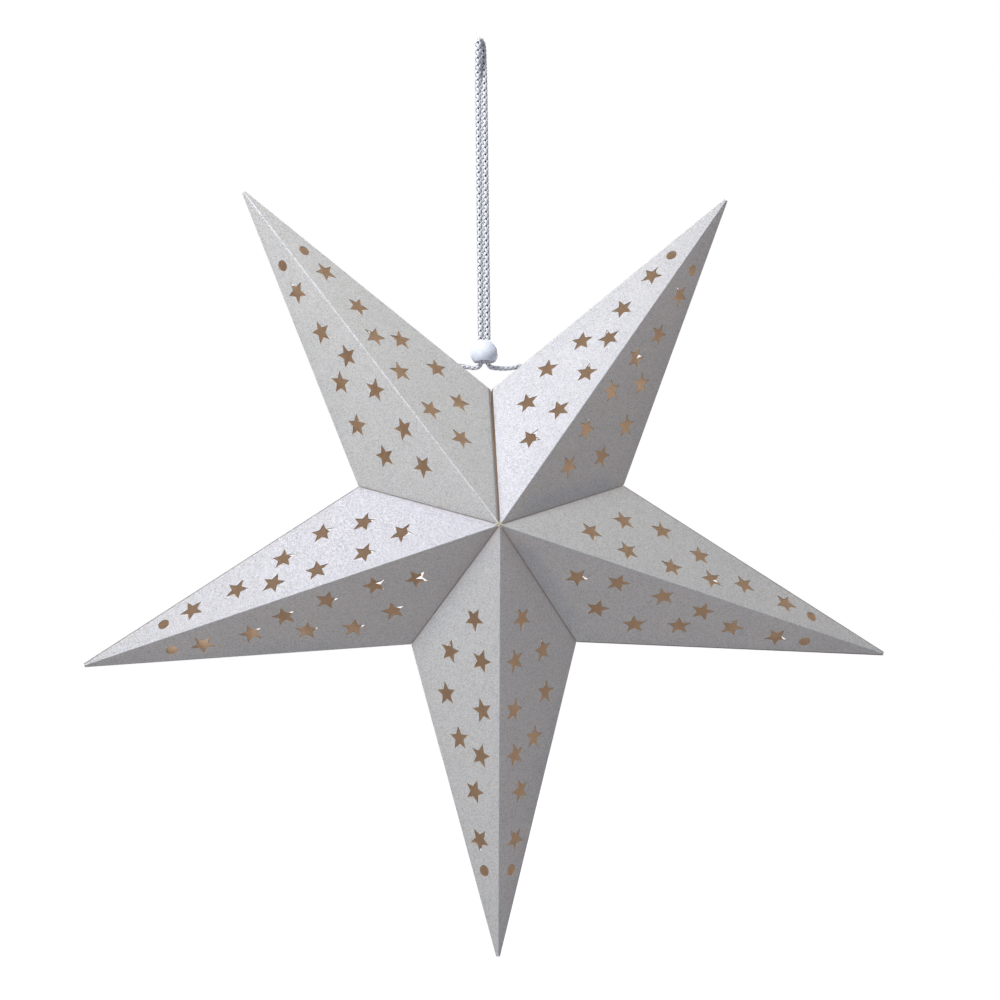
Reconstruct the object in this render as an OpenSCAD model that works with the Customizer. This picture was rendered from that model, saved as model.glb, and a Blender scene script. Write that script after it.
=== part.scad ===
// Hanging paper star lantern: five points, each folded from one card blank of four
// panels, glued to its neighbours along the valleys and open along one seam at the
// top, where a doubled cord with a sliding bead holds it shut.
// Millimetres, +Z up, the front faces -Y, and the origin is the inside top of the
// cord's loop, where the lantern hangs.

/* [Star] */
// Distance from the centre of the star to each tip
tip_r = 158; // [130:1:200]
// Distance from the centre of the star to the notch between two points
notch_r = 52; // [44:1:64]
// Height of the front and back apex above the middle plane
half_depth = 25.5; // [22:0.5:32]
// Thickness of the card
card_t = 0.3; // [0.2:0.05:0.5]

/* [Cut-outs] */
// Radius of a cut-out star, to its tips
star_cut_r = 4.3; // [3:0.1:5]
// Radius of a cut-out star, to its inner corners
star_cut_inner_r = 1.9; // [1.2:0.1:2.4]
// Radius of the round hole near each tip
tip_hole_r = 2; // [1:0.1:2.6]
// Distance by which the back panels' cut-outs lie nearer the apex than the front ones
back_shift = 5.5; // [0:0.5:6]

/* [Creases] */
// Bare strip between a panel's edge and a scored crease
crease_gap = 0.1; // [0.05:0.05:0.3]
// Extra clearance at the creases that part while the star folds
closing_gap = 0.3; // [0.2:0.05:0.6]
// Gap from the seam's middle to each side of the open seam
seam_gap = 0.5; // [0.3:0.1:1]
// Length cut off each panel's corner at the apex
apex_cut = 1.4; // [1:0.1:3]
// Length cut off each panel's corner at the tip
tip_cut = 0.8; // [0.4:0.1:2]
// Length cut off each panel's corner at the notch
notch_cut = 1; // [0.6:0.1:2]

/* [Glue tabs] */
// Width of the tabs that join two points along a valley
valley_tab_w = 5; // [4:0.5:5.5]
// Distance from the apex to the start of a valley tab
valley_tab_start = 9; // [8:0.5:14]
// Distance from a valley tab to the notch
valley_tab_end = 4; // [3:0.5:8]
// Width of the tab that closes a point's blank along its side edge
blank_tab_w = 3.6; // [2:0.1:4]
// Distance from the notch to the start of a blank's tab
blank_tab_start = 21; // [20:1:30]
// Length of a blank's tab along the side edge
blank_tab_len = 44; // [20:1:46]
// Distance from a tab to the crease beside it
tab_inset = 0.6; // [0.4:0.1:1]

/* [Cord and bead] */
// Diameter of the doubled cord
strand_d = 2.4; // [1.6:0.1:2.4]
// Diameter of each cord end below the bead, where it is pulled thin
leg_d = 1.8; // [1.2:0.1:1.8]
// Diameter of the bead
bead_d = 10.6; // [9:0.1:12]
// Diameter of the bead's bore
bead_bore_d = 5.2; // [5.1:0.1:6]
// Diameter of the flared mouth under the bead
bead_mouth_d = 8; // [7:0.1:8.4]
// Depth of the flared mouth
bead_mouth_h = 2.1; // [1:0.1:3]
// Distance from the notch to a lacing hole, along the side edge
lace_along = 15.5; // [13:0.5:17]
// Distance from the side edge to a lacing hole
lace_depth = 7; // [6:0.5:8]
// Radius of a lacing hole
lace_hole_r = 1.3; // [1.1:0.1:1.6]
// Diameter of the stopper knot behind each lacing hole
knot_d = 4.4; // [3.6:0.1:5]
// Gap between a knot and the card that it stops against
knot_gap = 0.1; // [0.05:0.05:0.2]

/* [Hidden] */

card = [0.87, 0.87, 0.88];
kraft = [0.66, 0.50, 0.34];
silver = [0.78, 0.78, 0.80];
pearl = [0.86, 0.87, 0.94];

// Angle from a tip to the notch beside it, and the tip angle of the point left of the seam
point_count = 5;
half_sector = 180 / point_count;
first_tip = 90 + half_sector;
// Centre of the star: the cord hangs a little left of it
star_centre = [2.4, 0, -186];
// Height of the bead's centre above the star's centre
bead_rise = 66.5;
bead_centre = [0, 0, star_centre[2] + bead_rise];

// One facet, laid flat: apex at the origin, tip on +X, notch on the +Y side
apex_to_tip = norm([tip_r, half_depth]);
apex_to_notch = norm([notch_r, half_depth]);
notch_to_tip = norm([tip_r - notch_r * cos(half_sector), notch_r * sin(half_sector)]);
apex_angle = acos((pow(apex_to_tip, 2) + pow(apex_to_notch, 2) - pow(notch_to_tip, 2))
    / (2 * apex_to_tip * apex_to_notch));
flat_tip = [apex_to_tip, 0];
flat_notch = apex_to_notch * [cos(apex_angle), sin(apex_angle)];
flat_facet = [[0, 0], flat_tip, flat_notch];

// How a front facet leans: the ridge's slope, and the facet's turn about its ridge
ridge_slope = atan2(half_depth, tip_r);
ridge_turn = atan2(notch_r * sin(half_sector) * apex_to_tip,
    half_depth * (tip_r - notch_r * cos(half_sector)));
// Outward normal of a front facet of a point that lies along +X
facet_normal = unit([half_depth * notch_r * sin(half_sector), -tip_r * notch_r * sin(half_sector),
    half_depth * (tip_r - notch_r * cos(half_sector))]);
// Angle from a facet to the outer half of its valley, less a right angle
valley_lean = asin(facet_normal * [-sin(half_sector), 0, cos(half_sector)]);
valley_gap = crease_gap + card_t * tan(valley_lean);

// Places of the cut-outs as shares of the way from the apex to the tip and to the
// notch, and each star's turn
star_places = [
    [0.138, 0.552, 48], [0.138, 0.279, 67], [0.225, 0.592, 30],
    [0.256, 0.196, 53], [0.368, 0.444, 31], [0.373, 0.182, 22],
    [0.472, 0.200, 50], [0.537, 0.268, 54], [0.665, 0.208, 1]
];
round_place = [0.750, 0.156];
// The star that is left out of a laced back panel, because the lacing hole takes its place
laced_star = 2;

// The doubled cord's route, from its left end in the bead up to the loop, and the
// right side is the same, turned half round. The loop's eye opens mostly front to back,
// so its strands stay side by side seen from the front. Then each lower end, from inside
// the bead's mouth over the side edge of a point and into its lacing hole.
cord_rise = [
    [-1.25, 0, -122.4], [-1.25, 0, -116], [-1.25, 0, -110], [-1.25, 0, -104], [-1.25, 0, -98],
    [-1.25, 0, -92], [-1.25, 0, -86], [-1.25, 0, -80], [-1.25, 0, -74], [-1.25, 0, -68],
    [-1.25, 0, -62], [-1.25, 0, -56], [-1.25, 0, -50], [-1.25, 0, -44], [-1.25, 0, -38],
    [-1.25, 0, -32], [-1.25, 0, -26], [-1.25, 0, -20], [-1.25, -0.3, -15.5], [-1.25, -0.8, -11.5],
    [-1.25, -1.4, -8], [-1.25, -2, -5], [-1.25, -2.3, -2.4], [-1.1, -2, -0.3], [-0.6, -1.15, 0.9]
];
cord_crown = [[0, 0, 1.2]];
cord_route = concat(cord_rise, cord_crown,
    [for (i = [len(cord_rise) - 1:-1:0]) let (p = cord_rise[i]) [-p[0], -p[1], p[2]]]);
// Level directions across the plane of the loop's eye and across the plane of the cord ends
eye_across = unit([2.3, -1.25, 0]);
ends_across = [0, 1, 0];
left_route = [
    [-1.25, 0, -122.5], [-1.25, 0, -122.9], [-1.4, 0, -123.7], [-1.9, 0.1, -124.5], [-2.8, 0.2, -125],
    [-4.1, 0.5, -125.1], [-5.8, 0.9, -124.8], [-7.5, 1.4, -124.5]
];
right_route = [
    [1.25, 0, -122.5], [1.25, 0, -122.9], [1.4, 0, -123.7], [1.9, 0.1, -124.5], [2.9, 0.2, -125],
    [4.5, 0.3, -125.2], [6.9, 0.5, -125.3], [9.4, 0.9, -125.1], [11.7, 1.4, -124.7]
];
// The last stretch of a cord end, measured from the notch: along the side edge, from
// the edge into the back panel, and out from the panel's inner face
lace_route = [
    [14.9, 0.3, 1.7], [15.2, 2, 2.8], [15.4, 3.8, 3.5], [15.5, 5.5, 3.2],
    [15.5, 6.7, 2.2], [15.5, 7, 1], [15.5, 7, 0], [15.5, 7, -1.2]
];
tube_sides = 8;

function unit(v) = v / norm(v);
function left_of(v) = [-v[1], v[0]];
function meet(p, u, q, v) = p + u * cross(q - p, v) / cross(u, v);
// A triangle with each side moved inwards by its own gap
function inset_triangle(c, gaps) = [for (i = [0:2])
    let (before = unit(c[i] - c[(i + 2) % 3]), after = unit(c[(i + 1) % 3] - c[i]))
    meet(c[i] + gaps[(i + 2) % 3] * left_of(before), before, c[i] + gaps[i] * left_of(after), after)];
// A triangle with a length cut off each corner
function blunt_triangle(c, cuts) = [for (i = [0:2])
    each [c[i] + cuts[i] * unit(c[(i + 2) % 3] - c[i]), c[i] + cuts[i] * unit(c[(i + 1) % 3] - c[i])]];
function star_outline(outer, inner) = [for (i = [0:9])
    (i % 2 == 0 ? outer : inner) * [cos(36 * i), sin(36 * i)]];
function tip_angle(point) = first_tip + 2 * half_sector * (point - 1);

// Directions beside the seam's notch, on the left and the right back panel
edge_left = unit([tip_r * cos(first_tip), 0, tip_r * sin(first_tip) - notch_r]);
back_left = unit(cross(edge_left, unit(cross([0, half_depth, -notch_r], edge_left))));
out_left = unit(cross(back_left, edge_left));
seam_notch = star_centre + [0, 0, notch_r];
function lace_point(p, side) = let (q = p[0] * edge_left + p[1] * back_left + p[2] * out_left)
    seam_notch + [side * q[0], q[1], q[2]];
function cord_end(route, side) = concat(route, [for (p = lace_route) lace_point(p, side)]);

// Rings of a tube along a route that stays near one upright plane
function along(r, i) = unit(r[min(i + 1, len(r) - 1)] - r[max(i - 1, 0)]);
function ring(r, i, d, across) = let (t = along(r, i), a = unit(cross(t, across)), b = cross(t, a))
    [for (k = [0:tube_sides - 1]) r[i]
        + d / 2 * (a * cos(360 * k / tube_sides) + b * sin(360 * k / tube_sides))];
module tube(r, d, across) {
    n = len(r);
    polyhedron(
        points = [for (i = [0:n - 1]) each ring(r, i, d, across)],
        faces = concat(
            [[for (k = [tube_sides - 1:-1:0]) k]],
            [for (i = [0:n - 2], k = [0:tube_sides - 1])
                let (a = i * tube_sides + k, b = i * tube_sides + (k + 1) % tube_sides)
                [a, b, b + tube_sides, a + tube_sides]],
            [[for (k = [0:tube_sides - 1]) (n - 1) * tube_sides + k]]));
}

// Puts what is drawn on a flat facet onto one panel of the star
module on_facet(point, side, face) {
    translate(star_centre) rotate([0, -tip_angle(point), 0])
        mirror([0, face == "back" ? 1 : 0, 0]) mirror([0, 0, side == "right" ? 1 : 0])
            translate([0, -half_depth, 0]) rotate([ridge_turn, 0, ridge_slope]) children();
}

// One card panel, from its inner face outwards, with its cut-outs
module panel(point, side, face) {
    beside_seam = (point == 1 && side == "right") || (point == 5 && side == "left");
    ridge = face == "front" ? crease_gap : crease_gap + closing_gap;
    valley = beside_seam ? seam_gap : (face == "front" ? valley_gap : valley_gap + closing_gap);
    outline = blunt_triangle(inset_triangle(flat_facet, [ridge, crease_gap, valley]),
        [apex_cut, tip_cut, notch_cut]);
    along_edge = unit(flat_tip - flat_notch);
    laced = beside_seam && face == "back";
    shift = [face == "back" ? -back_shift : 0, 0];
    color(card) on_facet(point, side, face) linear_extrude(card_t) difference() {
        polygon(outline);
        for (i = [0:len(star_places) - 1]) let (p = star_places[i])
            if (!laced || i != laced_star)
                translate(p[0] * flat_tip + p[1] * flat_notch + shift) rotate(p[2])
                    polygon(star_outline(star_cut_r, star_cut_inner_r));
        translate(round_place[0] * flat_tip + round_place[1] * flat_notch + shift)
            circle(tip_hole_r, $fn = 12);
        if (laced)
            translate(flat_notch + lace_along * along_edge + lace_depth * left_of(-along_edge))
                circle(lace_hole_r, $fn = 12);
    }
}

// A glue tab on a panel's inner face, beside the valley
module valley_tab(point, face) {
    along_valley = unit(flat_notch);
    across = left_of(-along_valley);
    far = apex_to_notch - valley_tab_end;
    color(kraft) on_facet(point, "right", face) translate([0, 0, -card_t])
        linear_extrude(card_t) polygon([
            valley_tab_start * along_valley + tab_inset * across,
            far * along_valley + tab_inset * across,
            (far - valley_tab_w) * along_valley + (tab_inset + valley_tab_w) * across,
            (valley_tab_start + valley_tab_w) * along_valley + (tab_inset + valley_tab_w) * across]);
}

// The glue tab that closes one point's blank, on the back panel beside its side edge
module blank_tab(point) {
    along_edge = unit(flat_tip - flat_notch);
    across = left_of(-along_edge);
    far = blank_tab_start + blank_tab_len;
    color(kraft) on_facet(point, "left", "back") translate([0, 0, -card_t])
        linear_extrude(card_t) polygon([
            flat_notch + blank_tab_start * along_edge + tab_inset * across,
            flat_notch + (blank_tab_start + blank_tab_w) * along_edge + (tab_inset + blank_tab_w) * across,
            flat_notch + (far - blank_tab_w) * along_edge + (tab_inset + blank_tab_w) * across,
            flat_notch + far * along_edge + tab_inset * across]);
}

module point_1_front_left() panel(1, "left", "front");
module point_1_front_right() panel(1, "right", "front");
module point_1_back_left() panel(1, "left", "back");
module point_1_back_right() panel(1, "right", "back");
module point_2_front_left() panel(2, "left", "front");
module point_2_front_right() panel(2, "right", "front");
module point_2_back_left() panel(2, "left", "back");
module point_2_back_right() panel(2, "right", "back");
module point_3_front_left() panel(3, "left", "front");
module point_3_front_right() panel(3, "right", "front");
module point_3_back_left() panel(3, "left", "back");
module point_3_back_right() panel(3, "right", "back");
module point_4_front_left() panel(4, "left", "front");
module point_4_front_right() panel(4, "right", "front");
module point_4_back_left() panel(4, "left", "back");
module point_4_back_right() panel(4, "right", "back");
module point_5_front_left() panel(5, "left", "front");
module point_5_front_right() panel(5, "right", "front");
module point_5_back_left() panel(5, "left", "back");
module point_5_back_right() panel(5, "right", "back");
module front_valley_tab_1() valley_tab(2, "front");
module front_valley_tab_2() valley_tab(3, "front");
module front_valley_tab_3() valley_tab(4, "front");
module front_valley_tab_4() valley_tab(5, "front");
module back_valley_tab_1() valley_tab(2, "back");
module back_valley_tab_2() valley_tab(3, "back");
module back_valley_tab_3() valley_tab(4, "back");
module back_valley_tab_4() valley_tab(5, "back");
module blank_tab_1() blank_tab(1);
module blank_tab_2() blank_tab(2);
module blank_tab_3() blank_tab(3);
module blank_tab_4() blank_tab(4);
module blank_tab_5() blank_tab(5);

module hanging_cord() color(silver) tube(cord_route, strand_d, eye_across);
module left_cord_end() color(silver) tube(cord_end(left_route, 1), leg_d, ends_across);
module right_cord_end() color(silver) tube(cord_end(right_route, -1), leg_d, ends_across);

// The bead, bored for two strands and flared below, where the cord ends part
module bead() {
    color(pearl) translate(bead_centre) difference() {
        sphere(d = bead_d, $fn = 64);
        cylinder(d = bead_bore_d, h = bead_d + 2, center = true, $fn = 48);
        translate([0, 0, -bead_d / 2])
            cylinder(d1 = bead_mouth_d, d2 = bead_bore_d, h = bead_mouth_h, $fn = 48);
    }
}

module knot(side) {
    color(silver) translate(lace_point([lace_along, lace_depth, -knot_gap - knot_d / 2], side))
        sphere(d = knot_d, $fn = 32);
}
module left_knot() knot(1);
module right_knot() knot(-1);

point_1_front_left();
point_1_front_right();
point_1_back_left();
point_1_back_right();
point_2_front_left();
point_2_front_right();
point_2_back_left();
point_2_back_right();
point_3_front_left();
point_3_front_right();
point_3_back_left();
point_3_back_right();
point_4_front_left();
point_4_front_right();
point_4_back_left();
point_4_back_right();
point_5_front_left();
point_5_front_right();
point_5_back_left();
point_5_back_right();
front_valley_tab_1();
front_valley_tab_2();
front_valley_tab_3();
front_valley_tab_4();
back_valley_tab_1();
back_valley_tab_2();
back_valley_tab_3();
back_valley_tab_4();
blank_tab_1();
blank_tab_2();
blank_tab_3();
blank_tab_4();
blank_tab_5();
hanging_cord();
left_cord_end();
right_cord_end();
bead();
left_knot();
right_knot();
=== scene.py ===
# %% [markdown]
# # A folded paper star lantern
#
# The real lantern is five points, each folded from one blank of pearly card, glued to
# each other along the valleys and left open along one seam at the top. A doubled silver
# cord with a bead on it holds the seam shut and hangs the star up.
#
# The CAD model is loaded as a fixed frame: it says where each panel, tab and cord is and
# what moves with what. Everything here is in metres, with +Z up and the front facing -Y,
# and the origin is the inside top of the cord's loop.

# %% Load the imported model
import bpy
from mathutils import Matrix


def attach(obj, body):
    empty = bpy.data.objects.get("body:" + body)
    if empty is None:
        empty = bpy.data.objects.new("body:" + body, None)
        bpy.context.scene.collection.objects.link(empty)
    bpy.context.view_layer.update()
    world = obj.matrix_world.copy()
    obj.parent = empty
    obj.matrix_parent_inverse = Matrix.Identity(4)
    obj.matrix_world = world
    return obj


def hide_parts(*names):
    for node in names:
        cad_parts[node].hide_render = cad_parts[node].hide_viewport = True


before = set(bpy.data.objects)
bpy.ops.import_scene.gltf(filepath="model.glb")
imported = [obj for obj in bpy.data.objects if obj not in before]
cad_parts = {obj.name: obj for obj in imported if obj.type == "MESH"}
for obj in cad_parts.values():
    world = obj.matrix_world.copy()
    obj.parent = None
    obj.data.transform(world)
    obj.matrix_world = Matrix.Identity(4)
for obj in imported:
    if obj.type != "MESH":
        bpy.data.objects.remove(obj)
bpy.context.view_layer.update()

# %% Modules and units
import math

import bmesh
import bpy
import numpy as np
from mathutils import Matrix, Vector, geometry, noise

MM = 0.001
scene = bpy.context.scene
scene.view_settings.view_transform = "Standard"
print("view transform:", scene.view_settings.view_transform)

# %% [markdown]
# ## Camera
#
# The lens and the camera's place were worked out from the five tips and five notches of
# the star in the photograph. The camera stands a little left of the star and a little
# below its middle, about 0.6 m away, and looks slightly up.

# %% Camera
LENS = 57.6
SENSOR = 36
CAMERA_PLACE = (-0.05808, -0.59327, -0.22314)
CAMERA_TURN = (94.606, 0.724, -6.034)

camera_data = bpy.data.cameras.new("photo_camera")
camera_data.lens = LENS
camera_data.sensor_width = SENSOR
camera_data.clip_start = 0.01
camera = bpy.data.objects.new("photo_camera", camera_data)
camera.location = CAMERA_PLACE
camera.rotation_euler = [math.radians(angle) for angle in CAMERA_TURN]
scene.collection.objects.link(camera)
scene.camera = camera
print("camera at", tuple(round(x, 3) for x in camera.location))

# %% [markdown]
# ## Small helpers for node trees
#
# Materials and Geometry Nodes are both trees of nodes, and a few short helpers keep them
# readable. The first cell fills a node's sockets, adds a node, and does arithmetic. The
# second mixes colours and reads what a material needs: the point on the piece, a number
# stored on its mesh, and a noise pattern. The last starts a material, plain or mottled.

# %% Nodes and arithmetic
def fill(tree, node, inputs):
    """Sets or links each input of a node, given by name or number."""
    for key, value in inputs.items():
        if isinstance(value, bpy.types.NodeSocket):
            tree.links.new(value, node.inputs[key])
        else:
            node.inputs[key].default_value = value


def add_node(tree, kind, inputs=None, **settings):
    """Adds a node, applies its settings and fills its inputs."""
    node = tree.nodes.new(kind)
    for setting, value in settings.items():
        setattr(node, setting, value)
    fill(tree, node, inputs or {})
    return node


def calc(tree, operation, *values):
    """A Math node's result, from numbers or other nodes' outputs."""
    return add_node(tree, "ShaderNodeMath", dict(enumerate(values)), operation=operation).outputs[0]


def times(tree, product, *others):
    """The product of several numbers or outputs."""
    for other in others:
        product = calc(tree, "MULTIPLY", product, other)
    return product


def vector_calc(tree, operation, *values):
    """A Vector Math node's vector result. To scale a vector, the second value is a number."""
    inputs = dict(enumerate(values))
    if operation == "SCALE":
        inputs["Scale"] = inputs.pop(1)
    return add_node(tree, "ShaderNodeVectorMath", inputs, operation=operation).outputs["Vector"]


# %% Colours and patterns
MIX_SHARE = 0
MIX_FIRST = 6
MIX_SECOND = 7
MIX_RESULT = 2


def rgba(colour):
    """A colour as a socket or, where it is given as (red, green, blue), with its alpha."""
    return colour if isinstance(colour, bpy.types.NodeSocket) else (*colour, 1)


def mix_colours(tree, share, first, second):
    """A colour between two others. The Mix node's sockets for colours go by number."""
    inputs = {MIX_SHARE: share, MIX_FIRST: rgba(first), MIX_SECOND: rgba(second)}
    return add_node(tree, "ShaderNodeMix", inputs, data_type="RGBA").outputs[MIX_RESULT]


def object_coords(tree):
    """The point on the piece in its own space, in metres."""
    return add_node(tree, "ShaderNodeTexCoord").outputs["Object"]


def attribute(tree, name):
    """A number stored on the mesh."""
    return add_node(tree, "ShaderNodeAttribute", attribute_name=name).outputs["Fac"]


def soft_noise(tree, scale, **pattern):
    """A soft random pattern from 0 to 1, with about so many lumps to a metre."""
    inputs = {"Vector": object_coords(tree), "Scale": scale, **pattern}
    return add_node(tree, "ShaderNodeTexNoise", inputs).outputs[0]


def relief(tree, height, strength, depth):
    """The normal of a fine relief of that depth, in metres."""
    inputs = {"Height": height, "Strength": strength, "Distance": depth}
    return add_node(tree, "ShaderNodeBump", inputs).outputs[0]


# %% Starting a material
def new_material(name):
    """A fresh material, its node tree and its Principled shader."""
    made = bpy.data.materials.new(name)
    made.use_nodes = True
    return made, made.node_tree, made.node_tree.nodes["Principled BSDF"]


def mottled_material(name, scale, dark, light, finish, **pattern):
    """A material whose colour wanders between two, with the shader's other sockets by name."""
    made, tree, shader = new_material(name)
    colour = mix_colours(tree, soft_noise(tree, scale, **pattern), dark, light)
    fill(tree, shader, {"Base Color": colour, **finish})
    return made


# %% [markdown]
# ## Silver thread
#
# The cord is a round braid of metallic thread. Each thread is a bundle of fine strips
# that are twisted together, so light catches it in short slanting streaks. The streaks
# are a fine relief and also a painted highlight, brighter colour along each streak. They
# follow two numbers that the braid's node tree stores on the mesh: the distance along
# the thread and the way round it. The dark core shows between the threads as the row of
# small dark dots that the photograph shows.

# %% Cord materials
STREAKS_ALONG = 9000.0
STREAKS_ROUND = 2
THREAD_DARK = (0.38, 0.40, 0.45)
THREAD_LIGHT = (0.84, 0.85, 0.88)


def make_thread():
    """Silver thread with slanting streaks in relief and as a painted highlight, and brighter and duller
    stretches.
    """
    made, tree, shader = new_material("silver_thread")
    along = times(tree, attribute(tree, "along"), STREAKS_ALONG)
    around = times(tree, attribute(tree, "around"), STREAKS_ROUND * math.tau)
    streak = calc(tree, "SINE", calc(tree, "ADD", along, around))
    streak = calc(tree, "MULTIPLY_ADD", streak, 0.5, 0.5)
    # Painted highlight: the colour is brighter along each streak.
    painted_glint = calc(tree, "MULTIPLY_ADD", streak, 0.3, 0.15)
    bright = calc(tree, "MULTIPLY_ADD", soft_noise(tree, 900.0), 0.7, painted_glint)
    fill(tree, shader, {
        "Base Color": mix_colours(tree, bright, THREAD_DARK, THREAD_LIGHT),
        "Normal": relief(tree, streak, 0.5, 0.05 * MM),
        "Metallic": 0.05,
        "Roughness": 0.45,
        "Specular IOR Level": 0.25})
    return made


thread = make_thread()
core = mottled_material("cord_core", 2500.0, (0.010, 0.011, 0.014), (0.045, 0.045, 0.05),
                        {"Roughness": 0.8})
print("materials:", thread.name, core.name)

# %% [markdown]
# ## Small helpers for Geometry Nodes
#
# A tree that makes a mesh gets named inputs for its sizes, stores numbers on the mesh
# for the materials to read, and ends with real geometry that has its materials. Each of
# these takes one line with a helper. The tree is run on a carrier object, and what it
# makes is kept as a plain mesh, so that nothing is left to work out when a piece moves.

# %% Tree helpers
SOCKET_KINDS = {int: "Int", float: "Float", tuple: "Vector"}


def add_inputs(tree, rows):
    """Names a tree's inputs, each with its first value or, without one, its kind."""
    for name, value in rows.items():
        kind = SOCKET_KINDS.get(type(value), value)
        socket = tree.interface.new_socket(name, in_out="INPUT", socket_type="NodeSocket" + kind)
        if kind != value:
            socket.default_value = value
    tree.interface.new_socket("Geometry", in_out="OUTPUT", socket_type="NodeSocketGeometry")
    return tree.nodes.new("NodeGroupInput").outputs


def store(tree, shape, name, value, **settings):
    """The geometry with a named number or vector stored on it."""
    inputs = {"Geometry": shape, "Name": name, "Value": value}
    return add_node(tree, "GeometryNodeStoreNamedAttribute", inputs, **settings).outputs[0]


def stored(tree, name, data_type="FLOAT"):
    """What was stored under a name."""
    inputs = {"Name": name}
    return add_node(tree, "GeometryNodeInputNamedAttribute", inputs, data_type=data_type).outputs["Attribute"]


def painted(tree, shape, material, chosen=True):
    """The geometry with a material on all of its faces or on the chosen ones."""
    inputs = {"Geometry": shape, "Selection": chosen, "Material": material}
    return add_node(tree, "GeometryNodeSetMaterial", inputs).outputs[0]


def marked_faces(tree, name):
    """Chooses what carries a mark."""
    return calc(tree, "GREATER_THAN", stored(tree, name), 0.5)


def made_real(tree, shape):
    """The geometry with its instances turned into real meshes."""
    return add_node(tree, "GeometryNodeRealizeInstances", {"Geometry": shape}).outputs[0]


# %% Running a tree
def run_tree(tree, start, values):
    """Runs a node tree on a mesh and returns the plain mesh that it makes."""
    carrier = bpy.data.objects.new("carrier", start)
    modifier = carrier.modifiers.new("tree", "NODES")
    modifier.node_group = tree
    sockets = {s.name: s.identifier for s in tree.interface.items_tree if s.in_out == "INPUT"}
    for name, value in values.items():
        modifier[sockets[name]] = value
    scene.collection.objects.link(carrier)
    seen = bpy.context.evaluated_depsgraph_get()
    made = bpy.data.meshes.new_from_object(carrier.evaluated_get(seen), depsgraph=seen)
    carrier.modifiers.remove(modifier)
    bpy.data.objects.remove(carrier)
    return made


# %% [markdown]
# ## The cord's braid as a node tree
#
# A round braid has as many threads winding one way as the other, and each passes over
# one and under the next. That is a rule along a path, so Geometry Nodes make it: the path
# is copied once per thread, each copy is moved off the path by a turning arm, and the
# arm's length rises and falls so that the threads cross over and under. The threads are
# flat, so each copy's normal is set to the arm, and an oval swept along it lies flat on
# the braid. The same tree makes the doubled cord, the thin ends and the knots.

# %% Parts of the braid
TUBE_SIDES = 8


def tube_round(tree, path, thickness, width, core_mark):
    """A tube along a curve, as thick as given along the curve's normal."""
    circle = add_node(tree, "GeometryNodeCurvePrimitiveCircle", {"Resolution": TUBE_SIDES, "Radius": 0.5})
    around = add_node(tree, "GeometryNodeSplineParameter").outputs["Factor"]
    circle = store(tree, circle.outputs[0], "around", around)
    size = add_node(tree, "ShaderNodeCombineXYZ", {"X": thickness, "Y": width, "Z": 1.0}).outputs[0]
    oval = add_node(tree, "GeometryNodeTransform", {"Geometry": circle, "Scale": size}).outputs[0]
    inputs = {"Curve": path, "Profile Curve": oval, "Fill Caps": True}
    tube = add_node(tree, "GeometryNodeCurveToMesh", inputs).outputs[0]
    return store(tree, tube, "is_core", core_mark)


def turned_arm(tree, angle, arm, facing):
    """The way from the path out to a thread, at an angle round the path."""
    forward = add_node(tree, "GeometryNodeInputTangent").outputs[0]
    sideways = vector_calc(tree, "NORMALIZE", vector_calc(tree, "CROSS_PRODUCT", forward, facing))
    upward = vector_calc(tree, "CROSS_PRODUCT", forward, sideways)
    across = vector_calc(tree, "SCALE", sideways, times(tree, arm, calc(tree, "COSINE", angle)))
    out = vector_calc(tree, "SCALE", upward, times(tree, arm, calc(tree, "SINE", angle)))
    return vector_calc(tree, "ADD", across, out)


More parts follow.
